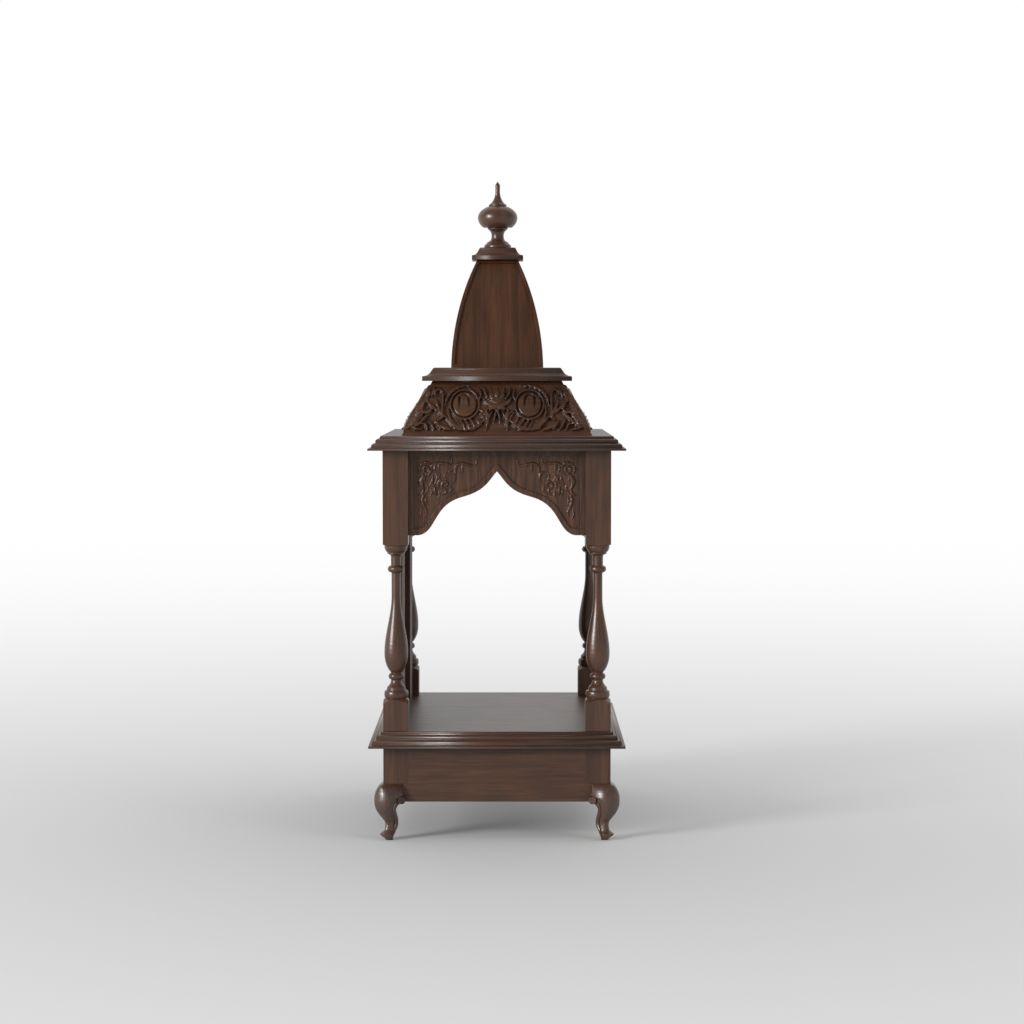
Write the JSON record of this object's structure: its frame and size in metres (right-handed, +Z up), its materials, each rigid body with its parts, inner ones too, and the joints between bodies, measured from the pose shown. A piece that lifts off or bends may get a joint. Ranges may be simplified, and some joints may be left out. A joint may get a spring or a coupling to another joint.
{
  "type": "wooden home temple",
  "caption": "Free-standing wooden home shrine with turned columns, ogee arches on cabriole legs, a carved sloping roof, a curved tower and a turned finial.",
  "frame": {"origin": "on the floor, centred under the temple", "axes": "+Z up, +X to the right and +Y to the rear as seen from the short side that has the open arches facing the viewer and the back wall on the left"},
  "size_m": [0.456, 0.608, 1.19],
  "materials": {
    "base_wood": "dark walnut stain under semi-gloss lacquer",
    "board_wood": "dark walnut stain under semi-gloss lacquer",
    "column_wood": "dark walnut stain under semi-gloss lacquer",
    "arch_wood": "dark walnut stain under semi-gloss lacquer",
    "carved_wood": "dark walnut stain under semi-gloss lacquer",
    "tower_wood": "dark walnut stain under semi-gloss lacquer",
    "finial_wood": "dark walnut stain under semi-gloss lacquer"
  },
  "bodies": {
    "root": {"front_left_leg": "base_wood", "front_right_leg": "base_wood", "rear_left_leg": "base_wood", "rear_right_leg": "base_wood", "front_left_corner_post": "base_wood", "front_right_corner_post": "base_wood", "rear_left_corner_post": "base_wood", "rear_right_corner_post": "base_wood", "front_apron": "base_wood", "rear_apron": "base_wood", "left_apron": "base_wood", "right_apron": "base_wood", "floor_board": "board_wood", "front_left_column": "column_wood", "front_right_column": "column_wood", "rear_left_column": "column_wood", "rear_right_column": "column_wood", "front_arch": "arch_wood", "rear_arch": "arch_wood", "left_arch": "arch_wood", "right_arch": "arch_wood", "back_wall_front_board": "board_wood", "back_wall_rear_board": "board_wood", "back_wall_panel": "board_wood", "lower_cornice": "board_wood", "front_roof_skirt": "carved_wood", "rear_roof_skirt": "carved_wood", "left_roof_skirt": "carved_wood", "right_roof_skirt": "carved_wood", "upper_cornice": "board_wood", "front_tower_side": "tower_wood", "rear_tower_side": "tower_wood", "left_tower_side": "tower_wood", "right_tower_side": "tower_wood", "tower_cap": "finial_wood", "finial": "finial_wood"}
  },
  "joints": []
}
